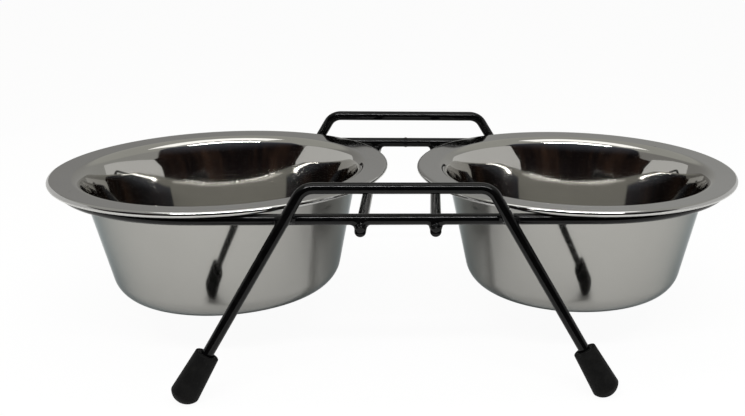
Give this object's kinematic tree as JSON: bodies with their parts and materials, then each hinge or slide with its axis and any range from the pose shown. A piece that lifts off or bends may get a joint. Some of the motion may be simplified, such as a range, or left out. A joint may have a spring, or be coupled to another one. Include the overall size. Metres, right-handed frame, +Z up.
{
  "type": "dog feeder stand",
  "caption": "Raised feeder stand for a small dog: polished steel bowls hang by their wide rims in a black coated wire stand with sloping legs, handle bars and rubber feet.",
  "frame": {"origin": "on the floor, midway between the two bowls and between the front and rear legs", "axes": "+X from the left bowl to the right bowl, +Y from front to back, +Z up"},
  "size_m": [0.3344, 0.1946, 0.094],
  "materials": {
    "bowl_steel": "mirror polished inside, satin polished outside",
    "coated_wire": "gloss black coating",
    "foot_rubber": "matte moulded"
  },
  "bodies": {
    "stand": {"support_rail": "coated_wire", "front_leg_frame": "coated_wire", "rear_leg_frame": "coated_wire", "left_cross_bar": "coated_wire", "right_cross_bar": "coated_wire", "rail_butt_weld": "coated_wire", "front_left_leg_weld": "coated_wire", "front_right_leg_weld": "coated_wire", "rear_left_leg_weld": "coated_wire", "rear_right_leg_weld": "coated_wire", "left_bar_front_weld": "coated_wire", "left_bar_rear_weld": "coated_wire", "right_bar_front_weld": "coated_wire", "right_bar_rear_weld": "coated_wire", "front_left_foot": "foot_rubber", "front_right_foot": "foot_rubber", "rear_left_foot": "foot_rubber", "rear_right_foot": "foot_rubber"},
    "left_bowl": {"left_bowl": "bowl_steel"},
    "right_bowl": {"right_bowl": "bowl_steel"}
  },
  "joints": [
    {"name": "left_bowl_lift", "type": "slide", "parent": "stand", "child": "left_bowl", "axis": [0, 0, 1], "range_m": [0, 0.09]},
    {"name": "right_bowl_lift", "type": "slide", "parent": "stand", "child": "right_bowl", "axis": [0, 0, 1], "range_m": [0, 0.09]}
  ]
}
